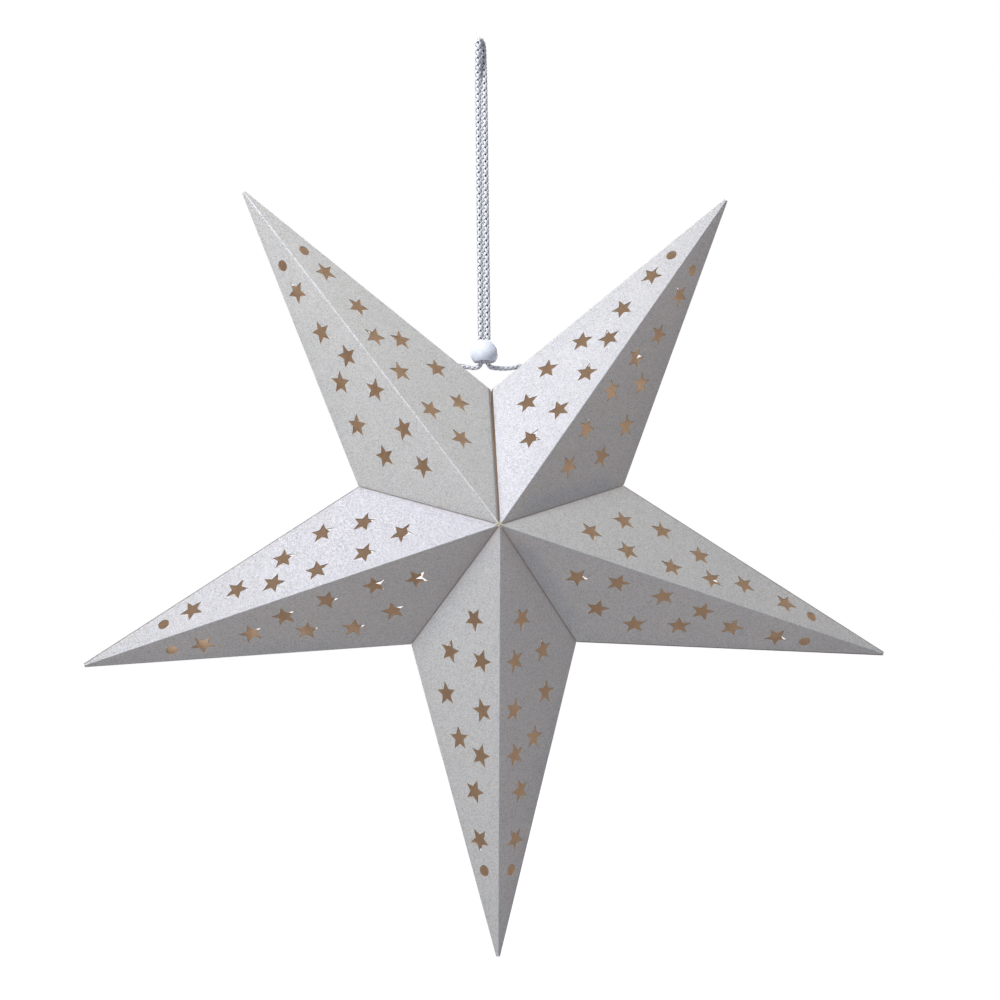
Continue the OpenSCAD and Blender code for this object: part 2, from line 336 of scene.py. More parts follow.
# %% Braid tree
def make_braid_tree():
    """Threads that wind both ways round a path, over and under each other, about a core."""
    tree = bpy.data.node_groups.new("round_braid", "GeometryNodeTree")
    given = add_inputs(tree, {
        "Geometry": "Geometry",
        "Threads Each Way": 3,
        "Lay Length": 8.3 * MM,
        "Braid Radius": 0.89 * MM,
        "Crossing Height": 0.20 * MM,
        "Thread Width": 0.98 * MM,
        "Thread Thickness": 0.44 * MM,
        "Core Width": 0.9 * MM,
        "Facing": (0.0, 1.0, 0.0),
        "First Angle": math.radians(28.5),
        "Thread": "Material",
        "Core": "Material",
    })
    path = add_node(tree, "GeometryNodeMeshToCurve", {"Mesh": given["Geometry"]}).outputs[0]
    inputs = {"Geometry": path, "Amount": times(tree, given["Threads Each Way"], 2.0)}
    copies = add_node(tree, "GeometryNodeDuplicateElements", inputs, domain="SPLINE").outputs
    number = copies["Duplicate Index"]
    way = calc(tree, "MULTIPLY_ADD", calc(tree, "MODULO", number, 2.0), -2.0, 1.0)
    pair = calc(tree, "FLOOR", calc(tree, "DIVIDE", number, 2.0))
    length = add_node(tree, "GeometryNodeSplineParameter").outputs["Length"]
    wound = times(tree, calc(tree, "DIVIDE", length, given["Lay Length"]), math.tau)
    first = calc(tree, "DIVIDE", times(tree, pair, math.tau), given["Threads Each Way"])
    first = calc(tree, "ADD", first, given["First Angle"])
    angle = calc(tree, "ADD", times(tree, wound, way), first)
    wave = calc(tree, "COSINE", times(tree, wound, given["Threads Each Way"]))
    arm = calc(tree, "ADD", given["Braid Radius"], times(tree, wave, given["Crossing Height"], way))
    outward = turned_arm(tree, angle, arm, given["Facing"])
    noted = store(tree, copies["Geometry"], "outward", outward, data_type="FLOAT_VECTOR")
    outward = stored(tree, "outward", "FLOAT_VECTOR")
    moved = add_node(tree, "GeometryNodeSetPosition", {"Geometry": noted, "Offset": outward}).outputs[0]
    inputs = {"Curve": store(tree, moved, "along", length), "Normal": outward}
    flat = add_node(tree, "GeometryNodeSetCurveNormal", inputs, mode="FREE").outputs[0]
    joined = add_node(tree, "GeometryNodeJoinGeometry")
    for part in (tube_round(tree, flat, given["Thread Thickness"], given["Thread Width"], 0.0),
                 tube_round(tree, path, given["Core Width"], given["Core Width"], 1.0)):
        tree.links.new(part, joined.inputs[0])
    silver = painted(tree, made_real(tree, joined.outputs[0]), given["Thread"])
    dark = painted(tree, silver, given["Core"], marked_faces(tree, "is_core"))
    add_node(tree, "NodeGroupOutput", {"Geometry": dark})
    return tree


braid = make_braid_tree()
print("braid tree has", len(braid.nodes), "nodes")

# %% [markdown]
# ## The doubled cord
#
# The photograph shows this cord from end to end: it rises out of the bead, turns over in
# a tight loop and comes back down beside itself. Its eye opens mostly front to back, so
# from the front the two strands stay side by side up to the top. Its route repeats the
# points of the CAD model, and a smooth curve goes through them.

# %% Paths
def smooth_path(points, step):
    """Points about one step apart on a smooth curve through the given points."""
    given = np.array(points, float)
    reached = np.concatenate([[0], np.cumsum(np.linalg.norm(np.diff(given, axis=0), axis=1))])
    slopes = np.gradient(given, reached, axis=0)
    path = []
    for here in np.linspace(0, reached[-1], max(2, round(reached[-1] / step)) + 1):
        i = min(np.searchsorted(reached, here, side="right") - 1, len(given) - 2)
        span = reached[i + 1] - reached[i]
        t = (here - reached[i]) / span
        path.append((2 * t**3 - 3 * t**2 + 1) * given[i] + (t**3 - 2 * t**2 + t) * span * slopes[i]
                    + (3 * t**2 - 2 * t**3) * given[i + 1] + (t**3 - t**2) * span * slopes[i + 1])
    return np.array(path)


def line_mesh(name, points):
    """A mesh of edges along a path."""
    mesh = bpy.data.meshes.new(name)
    mesh.from_pydata([tuple(p) for p in points], [(i, i + 1) for i in range(len(points) - 1)], [])
    return mesh


def path_length(points):
    """The length of a path in metres."""
    return float(np.linalg.norm(np.diff(points, axis=0), axis=1).sum())


def new_piece(name, mesh, body, replaced=()):
    """Puts a finished mesh in the scene as a piece that rides on a CAD body."""
    mesh.name = name
    piece = bpy.data.objects.new(name, mesh)
    scene.collection.objects.link(piece)
    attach(piece, body)
    if replaced:
        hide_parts(*replaced)
    return piece


# %% Doubled cord
CORD_STEP = 0.4 * MM
straight = [(-1.25, 0, z) for z in (-122.4, -116, *range(-110, -19, 6))]
bend = [(-1.25, -0.3, -15.5), (-1.25, -0.8, -11.5), (-1.25, -1.4, -8), (-1.25, -2, -5),
        (-1.25, -2.3, -2.4), (-1.1, -2, -0.3), (-0.6, -1.15, 0.9)]
across_loop = Vector((2.3, -1.25, 0)).normalized()
rise = straight + bend
route = rise + [(0, 0, 1.2)] + [(-x, -y, z) for x, y, z in reversed(rise)]
cord_path = smooth_path(np.array(route) * MM, CORD_STEP)
thick_braid = {"Thread": thread, "Core": core, "Facing": across_loop}
cord_mesh = run_tree(braid, line_mesh("cord_path", cord_path), thick_braid)
hanging_cord = new_piece("braided_cord", cord_mesh, "cord", ["hanging_cord"])

# %% [markdown]
# ## The two cord ends and their knots
#
# Under the bead the strands part. Each is pulled thin over the side edge of a point and
# goes through a lacing hole in the back panel, where an overhand knot stops it. The knot
# is a trefoil curve in the same braid, drawn up tight, with a short loose tail.

# %% Directions beside the seam
TIP_RADIUS = 158 * MM
NOTCH_RADIUS = 52 * MM
HALF_DEPTH = 25.5 * MM
HALF_SECTOR = math.radians(36)
FIRST_TIP = math.radians(126)
star_centre = Vector((2.4, 0, -186)) * MM

first_tip = Vector((math.cos(FIRST_TIP), 0, math.sin(FIRST_TIP))) * TIP_RADIUS
seam_notch = star_centre + Vector((0, 0, NOTCH_RADIUS))
edge_left = (first_tip - Vector((0, 0, NOTCH_RADIUS))).normalized()
back_left = edge_left.cross(Vector((0, HALF_DEPTH, -NOTCH_RADIUS)).cross(edge_left)).normalized()
out_left = back_left.cross(edge_left)


def lace_point(along, inward, outward, side):
    """A point near the seam's notch: along the side edge, into the back panel, and out of it."""
    q = (along * edge_left + inward * back_left + outward * out_left) * MM
    return seam_notch + Vector((side * q.x, q.y, q.z))


print("edge", tuple(round(x, 3) for x in edge_left), "out", tuple(round(x, 3) for x in out_left))

# %% Cord ends
END_STEP = 0.3 * MM
LACE_ALONG_MM = 15.5
LACE_DEPTH_MM = 7
left_route = [(-1.25, 0, -122.5), (-1.25, 0, -122.9), (-1.4, 0, -123.7), (-1.9, 0.1, -124.5),
              (-2.8, 0.2, -125), (-4.1, 0.5, -125.1), (-5.8, 0.9, -124.8), (-7.5, 1.4, -124.5)]
right_route = [(1.25, 0, -122.5), (1.25, 0, -122.9), (1.4, 0, -123.7), (1.9, 0.1, -124.5),
               (2.9, 0.2, -125), (4.5, 0.3, -125.2), (6.9, 0.5, -125.3), (9.4, 0.9, -125.1),
               (11.7, 1.4, -124.7)]
lace_route = [(14.9, 0.3, 1.7), (15.2, 2, 2.8), (15.4, 3.8, 3.5), (15.5, 5.5, 3.2), (15.5, 6.7, 2.2),
              *((LACE_ALONG_MM, LACE_DEPTH_MM, out) for out in (1, 0, -1.2))]
thin_braid = {"Thread": thread, "Core": core, "Lay Length": 5.7 * MM, "Braid Radius": 0.64 * MM,
              "Crossing Height": 0.14 * MM, "Thread Width": 0.76 * MM, "Thread Thickness": 0.32 * MM,
              "Core Width": 0.7 * MM}


def cord_end(name, points, side, node):
    """One end of the cord, from the bead over the side edge and through its lacing hole."""
    laced = [lace_point(*p, side) for p in lace_route]
    path = smooth_path([Vector(p) * MM for p in points] + laced, END_STEP)
    mesh = run_tree(braid, line_mesh("end_path", path), thin_braid)
    print(name, "%.1f mm" % (path_length(path) / MM))
    return new_piece(name, mesh, "point_1_back_right", [node])


left_end = cord_end("braided_left_end", left_route, 1, "left_cord_end")
right_end = cord_end("braided_right_end", right_route, -1, "right_cord_end")

# %% Knots
KNOT_RADIUS = 1.32 * MM
KNOT_DROP_MM = 2.3
KNOT_DEPTH = 0.5
KNOT_ROUND = 0.985
KNOT_POINTS = 60
KNOT_STEP = 0.25 * MM
TAIL_POINTS = 6
TAIL_STEP_MM = 0.45


def knot_piece(name, side, node):
    """An overhand knot behind a lacing hole, with its tail."""
    middle = lace_point(LACE_ALONG_MM, LACE_DEPTH_MM, -KNOT_DROP_MM, side)
    out = (lace_point(0, 0, 1, side) - lace_point(0, 0, 0, side)).normalized()
    edge = (lace_point(1, 0, 0, side) - lace_point(0, 0, 0, side)).normalized()
    inward = out.cross(edge)
    path = []
    for step in range(KNOT_POINTS + 1):
        t = math.tau * (step / KNOT_POINTS) * KNOT_ROUND
        a = (math.sin(t) + 2 * math.sin(2 * t)) / 3
        b = (math.cos(t) - 2 * math.cos(2 * t)) / 3
        c = -math.sin(3 * t) * KNOT_DEPTH
        path.append(middle + KNOT_RADIUS * (a * edge + b * inward + c * out))
    tail = (path[-1] - path[-2]).normalized() * TAIL_STEP_MM * MM
    for _ in range(TAIL_POINTS):
        path.append(path[-1] + tail)
    start = line_mesh("knot_path", smooth_path(path, KNOT_STEP))
    mesh = run_tree(braid, start, {**thin_braid, "Facing": out})
    return new_piece(name, mesh, "point_1_back_right", [node])


left_stop = knot_piece("left_overhand_knot", 1, "left_knot")
right_stop = knot_piece("right_overhand_knot", -1, "right_knot")
print("knot size in mm:", [round(v / MM, 1) for v in left_stop.dimensions])

# %% [markdown]
# ## The bead
#
# A plain round pearl bead. It slides on the doubled cord and pinches it, and the two ends
# leave through its lower mouth. A turned profile gives it the bore, a soft rim at each
# end and the flare at the bottom. Its finish is a clear gloss over a milky lavender body
# with a faint swirl.

# %% Bead profile
BEAD_RADIUS = 5.3 * MM
BORE_RADIUS = 2.6 * MM
MOUTH_RADIUS = 4.0 * MM
MOUTH_DEPTH = 2.1 * MM
LOWER_ROUNDING = 0.05
UPPER_ROUNDING = 0.06
OUTSIDE_POINTS = 33


def bead_profile():
    """Half of the bead's cut face as (radius, height) points, from the lower mouth round the outside."""
    lower = math.acos(MOUTH_RADIUS / BEAD_RADIUS)
    upper = math.acos(BORE_RADIUS / BEAD_RADIUS)
    arc = np.linspace(-lower + LOWER_ROUNDING, upper - UPPER_ROUNDING, OUTSIDE_POINTS)
    outside = [(BEAD_RADIUS * math.cos(a), BEAD_RADIUS * math.sin(a)) for a in arc]
    top = BEAD_RADIUS * math.sin(upper)
    bottom = -BEAD_RADIUS * math.sin(lower)
    rim = [(BORE_RADIUS + 0.12 * MM, top), (BORE_RADIUS + 0.02 * MM, top - 0.08 * MM),
           (BORE_RADIUS, top - 0.25 * MM)]
    flare = [(BORE_RADIUS, bottom + MOUTH_DEPTH), (MOUTH_RADIUS - 0.15 * MM, bottom + 0.12 * MM),
             (MOUTH_RADIUS - 0.02 * MM, bottom + 0.02 * MM)]
    return outside + rim + flare


print("bead profile has", len(bead_profile()), "points")

# %% Turning the bead
BEAD_SIDES = 72
SHARP_RIM = math.radians(50)
bead_centre = star_centre + Vector((-2.4, 0, 66.5)) * MM


def ring_faces(pairs, sides):
    """Quads between rings of points, for each pair of ring numbers."""
    return [(a * sides + k, a * sides + (k + 1) % sides, b * sides + (k + 1) % sides, b * sides + k)
            for a, b in pairs for k in range(sides)]


def turned_mesh(name, profile, middle, sides):
    """A ring-shaped solid turned from a closed profile about an upright axis, its faces outwards."""
    mesh = bpy.data.meshes.new(name)
    vertices = [middle + Vector((r * math.cos(math.tau * k / sides), r * math.sin(math.tau * k / sides), h))
                for r, h in profile for k in range(sides)]
    count = len(profile)
    mesh.from_pydata(vertices, [], ring_faces([(i, (i + 1) % count) for i in range(count)], sides))
    work = bmesh.new()
    work.from_mesh(mesh)
    bmesh.ops.recalc_face_normals(work, faces=work.faces)
    work.to_mesh(mesh)
    work.free()
    return mesh


bead_mesh = turned_mesh("bead", bead_profile(), bead_centre, BEAD_SIDES)
bead_mesh.shade_smooth()
bead_mesh.set_sharp_from_angle(angle=SHARP_RIM)
print("bead faces:", len(bead_mesh.polygons))

# %% Pearl finish
pearl_finish = {
    "Roughness": 0.22,
    "Coat Weight": 0.6,
    "Coat Roughness": 0.06,
    "Subsurface Weight": 0.25,
    "Subsurface Radius": (0.6, 0.6, 0.8),
    "Subsurface Scale": 2 * MM,
}
pearl = mottled_material("pearl_bead", 260.0, (0.66, 0.70, 0.83), (0.87, 0.90, 0.95), pearl_finish,
                         Detail=3.0, Distortion=1.5)
bead_mesh.materials.append(pearl)
bead = new_piece("pearl_bead", bead_mesh, "bead", ["bead"])
print("bead is", round(bead.dimensions.x / MM, 1), "mm across")

# %% [markdown]

# %% [markdown]
# ## Pearly card
#
# The outside of the card has a pearl coating: a warm white body with tiny mica flakes in
# it. Each flake leans its own way, so on a facet that faces the lamp many of them flash
# bluish white and the facet looks cool and bright, and on the others the warm body shows.
# A cell pattern gives every flake its own lean and brightness. Thin card also lets some
# light through, which is why the brown inside glows.

# %% Flakes and thin card
def flake_cells(tree, size):
    """Random cells of about that size, as a colour and three numbers for each."""
    inputs = {"Vector": object_coords(tree), "Scale": 1 / size}
    cells = add_node(tree, "ShaderNodeTexVoronoi", inputs).outputs["Color"]
    return cells, add_node(tree, "ShaderNodeSeparateColor", {0: cells}).outputs


def leaning_normal(tree, cell_colour, amount):
    """The surface normal, turned a little its own way in every cell."""
    own = vector_calc(tree, "SCALE", vector_calc(tree, "SUBTRACT", cell_colour, (0.5, 0.5, 0.5)), amount)
    straight_on = add_node(tree, "ShaderNodeNewGeometry").outputs["Normal"]
    return vector_calc(tree, "NORMALIZE", vector_calc(tree, "ADD", straight_on, own))


def let_light_through(tree, shader, colour, share):
    """Mixes a see-through share into a thin card's shader, so light passes it softly."""
    through = add_node(tree, "ShaderNodeBsdfTranslucent", {"Color": rgba(colour)})
    inputs = {0: share, 1: shader.outputs[0], 2: through.outputs[0]}
    mixed = add_node(tree, "ShaderNodeMixShader", inputs).outputs[0]
    fill(tree, tree.nodes["Material Output"], {"Surface": mixed})


# %% [markdown]
# ## Cracks and painted shade along the folds
#
# The coating cracks along a folded ridge and shows whiter there. The rest is painted
# shade: a soft darker band along every valley, a thin dark line in the gap between the
# panels, a dark strip beside the open seam where the card folds back, a wider darker band
# on the lower valleys near the middle, and a thin dark line along a few side edges. Each
# panel carries its distance to every crease, in millimetres, and how strong its own cracks
# and painted shade are, so they follow the folds exactly and differ from point to point.

# %% Fold cracks and painted shade
CRACKED_ABOVE = 0.46


def near_line(tree, name, reach, softness):
    """1 within reach of a crease, in millimetres, falling to 0 over the softness."""
    past = calc(tree, "SUBTRACT", reach + softness, attribute(tree, name))
    share = calc(tree, "DIVIDE", past, softness)
    return calc(tree, "MINIMUM", calc(tree, "MAXIMUM", share, 0.0), 1.0)


def add_cracks_and_painted_shade(tree, colour):
    """The card's colour with the ridge cracks and the painted shade laid over it, one after the other."""
    broken = calc(tree, "GREATER_THAN", soft_noise(tree, 1500.0, Detail=3.0), CRACKED_ABOVE)
    cracks = times(tree, near_line(tree, "ridge_mm", 0.0, 0.18), broken, attribute(tree, "wear"))
    # Painted shade: a soft darker band along every valley.
    crease_shade = near_line(tree, "valley_mm", 0.2, 1.8)
    # Painted shadow: a thin dark line in the gap between two panels.
    gap_shadow_line = near_line(tree, "valley_mm", 0.24, 0.22)
    # Painted shadow: a dark strip beside the open seam, where the card folds back.
    seam = times(tree, near_line(tree, "valley_mm", 1.0, 0.5), attribute(tree, "seam_shade"))
    # Painted shade: a wider darker band on the lower valleys, strongest near the middle.
    middle = near_line(tree, "apex_mm", 8.0, 34.0)
    valley_shade = times(tree, near_line(tree, "valley_mm", 0.3, 6.0), middle, attribute(tree, "valley_shade"))
    # Painted shade: a thin dark line along a few side edges, where the fold curves away.
    edge_shade = times(tree, near_line(tree, "edge_mm", 0.14, 0.14), attribute(tree, "edge_shade"))
    layers = (
        (cracks, 0.9, (0.93, 0.93, 0.94)),
        (crease_shade, 0.22, (0.36, 0.34, 0.31)),
        (gap_shadow_line, 0.72, (0.15, 0.145, 0.145)),
        (seam, 0.75, (0.17, 0.14, 0.12)),
        (valley_shade, 0.34, (0.34, 0.33, 0.34)),
        (edge_shade, 0.85, (0.13, 0.115, 0.10)),
    )
    for where, strength, mark_colour in layers:
        colour = mix_colours(tree, times(tree, where, strength), colour, mark_colour)
    return colour


# %% Pearly card
FLAKE_SIZE = 0.22 * MM
GRAIN_SIZE = 0.30 * MM
FLAKE_LEAN = 0.22
FLASH_ABOVE = 0.62
FLASH_STRENGTH = 0.6
GRAIN_SHARES = (0.45, 0.55)
BODY_COLOURS = ((0.845, 0.897, 0.822), (0.905, 0.955, 0.882))
GRAIN_COLOUR = (0.285, 0.318, 0.322)
FLAKE_COLOURS = ((0.80, 0.88, 0.95), (0.86, 0.84, 0.94))


def make_pearl_card():
    """The pearl coating with its cracks and painted shade, each point lighter or darker as painted light."""
    made, tree, shader = new_material("pearly_card")
    lean, (red, green, blue) = flake_cells(tree, FLAKE_SIZE)
    _, (speck, tint, _) = flake_cells(tree, GRAIN_SIZE)
    body = mix_colours(tree, soft_noise(tree, 45.0, Detail=4.0), *BODY_COLOURS)
    grain = calc(tree, "MULTIPLY_ADD", blue, GRAIN_SHARES[0], times(tree, speck, GRAIN_SHARES[1]))
    body = mix_colours(tree, grain, body, GRAIN_COLOUR)
    flash = calc(tree, "GREATER_THAN", red, FLASH_ABOVE)
    flake = mix_colours(tree, tint, *FLAKE_COLOURS)
    colour = add_cracks_and_painted_shade(tree, mix_colours(tree, times(tree, flash, FLASH_STRENGTH), body, flake))
    fill(tree, shader, {
        # Painted light: each point's colour is scaled to stand in for how the lamp falls on it.
        "Base Color": vector_calc(tree, "SCALE", colour, attribute(tree, "painted_light")),
        "Normal": leaning_normal(tree, lean, FLAKE_LEAN),
        "Metallic": times(tree, flash, 0.12),
        "Roughness": calc(tree, "MULTIPLY_ADD", green, 0.2, 0.40),
        "Specular IOR Level": 0.8,
        "Specular Tint": (0.62, 0.58, 1.0, 1)})
    let_light_through(tree, shader, (0.88, 0.87, 0.85), 0.33)
    return made


pearl_card = make_pearl_card()
print("card material:", pearl_card.name, "with", len(pearl_card.node_tree.nodes), "nodes")

# %% [markdown]
# ## Kraft paper and bare edges
#
# Inside, the card is brown kraft paper with fine fibres, with painted shade beside the
# open seam. Its cut edge shows the paper's layers. Along the seam the bare edge is painted
# dark as shade, nearly black in places.

# %% Kraft and edges
def make_kraft(name, light, dark, share):
    """Fibrous brown paper that lets a share of the light through."""
    made, tree, shader = new_material(name)
    fibres = soft_noise(tree, 700.0, Detail=6.0, Roughness=0.7)
    # Painted shade: the kraft is darker beside the open seam on the seam panels.
    seam_shadow = times(tree, near_line(tree, "valley_mm", 1.6, 1.4), attribute(tree, "seam"), 0.7)
    colour = mix_colours(tree, seam_shadow, mix_colours(tree, fibres, dark, light), (0.15, 0.115, 0.09))
    bumps = relief(tree, fibres, 0.25, 0.1 * MM)
    fill(tree, shader, {"Base Color": colour, "Normal": bumps, "Roughness": 0.85})
    let_light_through(tree, shader, light, share)
    return made


kraft_inside = make_kraft("kraft_inside", (0.81, 0.635, 0.475), (0.68, 0.505, 0.355), 0.6)
kraft_tab = make_kraft("kraft_tab_paper", (0.72, 0.55, 0.40), (0.58, 0.43, 0.29), 0.5)
cut_edge = mottled_material("cut_card_edge", 3000.0, (0.20, 0.14, 0.09), (0.62, 0.52, 0.41),
                            {"Roughness": 0.7})
# Painted shade: the bare edge along the open seam, nearly black in places.
shaded_seam_edge = mottled_material("shaded_seam_card_edge", 400.0, (0.07, 0.053, 0.042), (0.24, 0.18, 0.135),
                                {"Roughness": 0.85}, Detail=3.0)
print("inside and edges:", kraft_inside.name, cut_edge.name, shaded_seam_edge.name)

# %% [markdown]
# ## One facet, laid flat
#
# All twenty panels have one shape: a long triangle from the apex in the middle of the
# star to the tip of a point and to the notch beside it. It is drawn flat, with the apex
# at the origin and the ridge along +X, and then leaned, mirrored and turned into place.

# %% Facet measures
CARD = 0.3 * MM
APEX_TO_TIP = math.hypot(TIP_RADIUS, HALF_DEPTH)
APEX_TO_NOTCH = math.hypot(NOTCH_RADIUS, HALF_DEPTH)
NOTCH_ACROSS = NOTCH_RADIUS * math.sin(HALF_SECTOR)
NOTCH_ALONG = NOTCH_RADIUS * math.cos(HALF_SECTOR)
NOTCH_TO_TIP = math.hypot(TIP_RADIUS - NOTCH_ALONG, NOTCH_ACROSS)
apex_sides = APEX_TO_TIP**2 + APEX_TO_NOTCH**2 - NOTCH_TO_TIP**2
APEX_ANGLE = math.acos(apex_sides / (2 * APEX_TO_TIP * APEX_TO_NOTCH))
RIDGE_SLOPE = math.atan2(HALF_DEPTH, TIP_RADIUS)
RIDGE_TURN = math.atan2(NOTCH_ACROSS * APEX_TO_TIP, HALF_DEPTH * (TIP_RADIUS - NOTCH_ALONG))

flat_apex = Vector((0, 0))
flat_tip = Vector((APEX_TO_TIP, 0))
flat_notch = APEX_TO_NOTCH * Vector((math.cos(APEX_ANGLE), math.sin(APEX_ANGLE)))
print("facet in mm: ridge %.1f, side edge %.1f, valley %.1f"
      % (APEX_TO_TIP / MM, NOTCH_TO_TIP / MM, APEX_TO_NOTCH / MM))


# %% Facet places
def facet_matrix(point, side, face):
    """Where a facet that is laid flat goes on the star."""
    lean = Matrix.Rotation(RIDGE_SLOPE, 4, "Z") @ Matrix.Rotation(RIDGE_TURN, 4, "X")
    forward = Matrix.Translation((0, -HALF_DEPTH, 0)) @ lean
    mirrored = Matrix.Diagonal((1, -1 if face == "back" else 1, -1 if side == "right" else 1, 1))
    tip_angle = FIRST_TIP + 2 * HALF_SECTOR * (point - 1)
    turned = Matrix.Rotation(-tip_angle, 4, "Y")
    return Matrix.Translation(star_centre) @ turned @ mirrored @ forward


lowest_tip = facet_matrix(3, "left", "front") @ flat_tip.to_3d()
print("tip of point 3 at", tuple(round(v / MM, 1) for v in lowest_tip), "mm")

# %% [markdown]
# ## The blank of a panel
#
# A panel is a thin closed slab. Along the ridge and the side edge it ends in a rounded
# nose about the fold line, as folded card does: the nose of one panel lies in the nose
# of the next, so the fold stays closed however far it turns. Along a glued valley the
# slab stops a hair short of its neighbour. Along the open seam it stops further back,
# more in front than behind, and more at the notch than at the apex. A fine net of points
# inside lets the card bow a little, because no card is quite flat.

# %% Panel outline
VALLEY_CRACK = (0.04 * MM, 0.04 * MM)
FRONT_SEAM = (0.7 * MM, 0.25 * MM)
BACK_SEAM = (0.15 * MM, 0.1 * MM)
CORNER_CUTS = (0.55 * MM, 1.65 * MM, 0.3 * MM)


def cross_at(p, u, q, v):
    """Where the line through p along u meets the line through q along v."""
    return p + u * ((q - p).cross(v) / u.cross(v))


def panel_corners(gap_at_notch, gap_at_apex):
    """Six corners of a panel, anticlockwise from the ridge's start, each sharp corner cut off."""
    inward = Vector((flat_notch.y, -flat_notch.x)).normalized()
    valley_start = flat_notch + inward * gap_at_notch
    valley_end = flat_apex + inward * gap_at_apex
    valley = valley_end - valley_start
    edge = flat_notch - flat_tip
    apex = cross_at(valley_start, valley, flat_apex, flat_tip)
    notch = cross_at(valley_start, valley, flat_tip, edge)
    edge, valley, ridge = edge.normalized(), valley.normalized(), Vector((1, 0))
    at_apex, at_tip, at_notch = CORNER_CUTS
    return [apex + ridge * at_apex, flat_tip - ridge * at_tip, flat_tip + edge * at_tip,
            notch - edge * at_notch, notch + valley * at_notch, apex - valley * at_apex]


print("outline in mm:", [tuple(round(v / MM, 1) for v in p) for p in panel_corners(*VALLEY_CRACK)])

# %% Points of the net
NET = 3.4 * MM
FOLD_ROW_MM = 0.5
NET_MARGIN = 1.3 * MM
ROW_START = 0.6


def border_points(corners):
    """Points round the outline, and for each side its first point, its steps and the way out."""
    border = []
    rows = []
    for i in range(6):
        start, end = corners[i], corners[(i + 1) % 6]
        steps = max(1, round((end - start).length / NET))
        rows.append((len(border), steps, Vector((end.y - start.y, start.x - end.x)).normalized()))
        border += [start + (end - start) * (k / steps) for k in range(steps)]
    return border, rows


def net_points(corners):
    """Points inside the outline: a row close to each fold, and a net of triangles between."""
    points = []
    for start, end in ((corners[0], corners[1]), (corners[2], corners[3])):
        along = end - start
        inward = Vector((-along.y, along.x)).normalized() * FOLD_ROW_MM * MM
        steps = round(along.length / NET)
        points += [start + along * ((k + 0.5) / steps) + inward for k in range(steps)]
    row_height = NET * math.sqrt(3) / 2
    sides = [(corners[i], corners[i + 1]) for i in (0, 2, 4)]
    for row in range(int(flat_notch.y / row_height) + 1):
        for column in range(int(APEX_TO_TIP / NET) + 1):
            p = Vector(((column + 0.5 * (row % 2)) * NET, (row + ROW_START) * row_height))
            if all((b - a).normalized().cross(p - a) > NET_MARGIN for a, b in sides):
                points.append(p)
    return points


print("points inside a panel:", len(net_points(panel_corners(*VALLEY_CRACK))))

# %% Rounded noses
RIDGE_NOSE = math.radians(85)
EDGE_NOSE = math.radians(60)
NESTED_NOSE = 0.97
NOSE_STEPS = 6
PEARL, KRAFT, CUT, SHADED_SEAM_WALL = range(4)


def add_nose(work, top, bottom, out, turn, width):
    """Rounds off one side of a slab about its fold line, from the top points to the bottom ones."""
    arcs = []
    for above, below in zip(top, bottom):
        foot = below.co.to_2d()
        arc = [above]
        for step in range(1, NOSE_STEPS + 1):
            angle = turn * step / NOSE_STEPS
            reach = foot + out * (CARD * width * math.sin(angle))
            arc.append(work.verts.new((reach.x, reach.y, CARD * math.cos(angle))))
        arcs.append(arc)
    for k in range(len(arcs) - 1):
        here, after = arcs[k], arcs[k + 1]
        for step in range(NOSE_STEPS):
            quad = (here[step], here[step + 1], after[step + 1], after[step])
            work.faces.new(quad).material_index = PEARL
        work.faces.new((here[-1], bottom[k], bottom[k + 1], after[-1])).material_index = KRAFT
    for k in (0, -1):
        work.faces.new([bottom[k], *arcs[k]]).material_index = PEARL


# %% Blank builder
RIDGE_ROW = 0
EDGE_ROW = 2
VALLEY_ROW = 4
VALLEY_BEVEL = CARD * math.tan(math.radians(19.75))


def panel_blank(name, seam, gaps, ridge_width, edge_width):
    """A closed slab with rounded noses: pearl outside, kraft inside, and a bare edge along the seam painted
    dark as shade.
    """
    corners = panel_corners(*gaps)
    border, rows = border_points(corners)
    count = len(border)
    loop = [(i, (i + 1) % count) for i in range(count)]
    points, _, triangles, *_ = geometry.delaunay_2d_cdt(border + net_points(corners), loop, [], 1, 1e-7)
    work = bmesh.new()
    top = [work.verts.new((p.x, p.y, CARD)) for p in points]
    bottom = [work.verts.new((p.x, p.y, 0)) for p in points]
    if not seam:
        first, steps, out = rows[VALLEY_ROW]
        for i in range(first, first + steps + 1):
            top[i].co -= Vector((*out, 0)) * VALLEY_BEVEL
    for a, b, c in triangles:
        work.faces.new((top[a], top[b], top[c])).material_index = PEARL
        work.faces.new((bottom[c], bottom[b], bottom[a])).material_index = KRAFT
    noses = {RIDGE_ROW: (RIDGE_NOSE, ridge_width), EDGE_ROW: (EDGE_NOSE, edge_width)}
    # The seam's bare edge gets the painted shade; the glued valleys carry on in pearl.
    walls = {VALLEY_ROW: SHADED_SEAM_WALL if seam else PEARL}
    for number, (first, steps, out) in enumerate(rows):
        here = [(first + k) % count for k in range(steps + 1)]
        if number in noses:
            add_nose(work, [top[i] for i in here], [bottom[i] for i in here], out, *noses[number])
            continue
        for a, b in zip(here, here[1:]):
            wall = work.faces.new((top[a], bottom[a], bottom[b], top[b]))
            wall.material_index = walls.get(number, CUT)
    bmesh.ops.recalc_face_normals(work, faces=work.faces)
    open_edges = sum(1 for e in work.edges if len(e.link_faces) != 2)
    mesh = bpy.data.meshes.new(name)
    work.to_mesh(mesh)
    work.free()
    for finish in (pearl_card, kraft_inside, cut_edge, shaded_seam_edge):
        mesh.materials.append(finish)
    print(name, len(mesh.polygons), "faces,", open_edges, "open edges")
    return mesh


